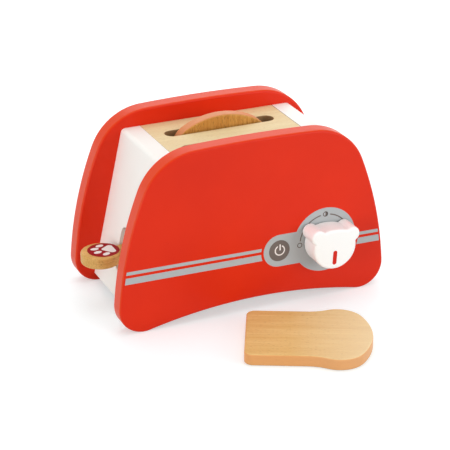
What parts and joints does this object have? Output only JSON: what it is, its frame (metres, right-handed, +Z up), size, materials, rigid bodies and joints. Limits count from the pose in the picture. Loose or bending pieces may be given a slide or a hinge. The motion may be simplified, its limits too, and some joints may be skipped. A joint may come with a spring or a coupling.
{
  "type": "toy toaster",
  "caption": "Toy toaster of painted wood with arched side panels, slotted top, sliding lever, turning knob and wooden toast.",
  "frame": {"origin": "middle of the toaster's footprint on the table, halfway between the two panels", "axes": "+X along the toaster away from the lever, -Y out of the front with the knob, +Z up from the table"},
  "size_m": [0.2501, 0.244, 0.152],
  "materials": {
    "red_paint": "satin red paint on wood",
    "white_paint": "satin white paint on wood",
    "pale_wood": "clear satin lacquer",
    "dowel_wood": "plain sanded wood",
    "lever_wood": "clear satin lacquer",
    "toast_wood": "clear satin lacquer",
    "knob_paint": "satin white paint on wood",
    "felt": "pressed felt",
    "zinc_steel": "bright zinc"
  },
  "bodies": {
    "housing": {"front_panel": "red_paint", "rear_panel": "red_paint", "left_end_board": "white_paint", "right_end_board": "white_paint", "slot_plate": "pale_wood", "base_board": "white_paint", "guide_post_left": "dowel_wood", "guide_post_right": "dowel_wood", "assembly_dowels": "dowel_wood"},
    "lift": {"toast_tray": "dowel_wood", "lever": "lever_wood", "tray_screws": "zinc_steel"},
    "slice_rear": {"toast_slice_rear": "toast_wood"},
    "slice_loose": {"toast_slice_loose": "toast_wood"},
    "selector": {"knob": "knob_paint", "knob_shaft": "dowel_wood", "felt_washer": "felt", "retaining_washer": "zinc_steel", "shaft_screw": "zinc_steel"}
  },
  "joints": [
    {"name": "lift_slide", "type": "slide", "parent": "housing", "child": "lift", "axis": [0, 0, 1], "range_m": [-0.0085, 0.014]},
    {"name": "slice_out", "type": "slide", "parent": "lift", "child": "slice_rear", "axis": [0, 0, 1], "range_m": [0, 0.095]},
    {"name": "knob_turn", "type": "hinge", "parent": "housing", "child": "selector", "pos_m": [0.06348, -0.061, 0.0527], "axis": [0, 1, 0], "continuous": true},
    {"name": "loose_slice_up", "type": "slide", "parent": "housing", "child": "slice_loose", "axis": [0, 0, 1], "range_m": [0, 0.05]}
  ]
}
